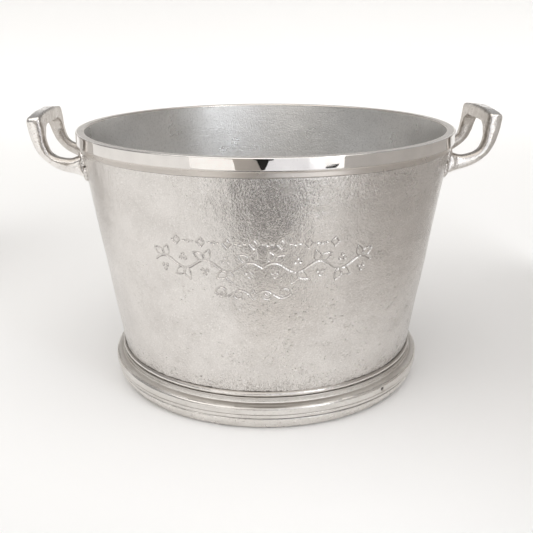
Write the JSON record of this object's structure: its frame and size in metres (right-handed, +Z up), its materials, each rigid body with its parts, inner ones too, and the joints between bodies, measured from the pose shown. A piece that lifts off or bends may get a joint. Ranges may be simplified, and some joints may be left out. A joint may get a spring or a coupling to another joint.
{
  "type": "champagne bucket",
  "caption": "Large round tapered cast metal bucket with a flat polished rim, two upright loop handles and a stepped foot, for chilling several bottles in ice.",
  "frame": {"origin": "centre of the foot's underside", "axes": "+Z up along the bucket's axis; +X towards the right handle as seen from the engraved side; the engraved side faces -Y"},
  "size_m": [0.462, 0.38, 0.2805],
  "materials": {
    "cast_wall": "rough cast skin, nickel plated and lightly polished",
    "satin_floor": "satin, nickel plated",
    "polished_nickel": "mirror polished, nickel plated",
    "polished_handle": "hand polished casting, slightly uneven, nickel plated",
    "weld_metal": "lumpy weld bead, nickel plated"
  },
  "bodies": {
    "root": {"bowl_wall": "cast_wall", "floor_plate": "satin_floor", "rim_band": "polished_nickel", "wall_bead": "polished_nickel", "foot_ring": "polished_nickel", "plinth_ring": "polished_nickel", "handle_left": "polished_handle", "handle_right": "polished_handle", "handle_weld_left_front": "weld_metal", "handle_weld_left_rear": "weld_metal", "handle_weld_right_front": "weld_metal", "handle_weld_right_rear": "weld_metal"}
  },
  "joints": []
}
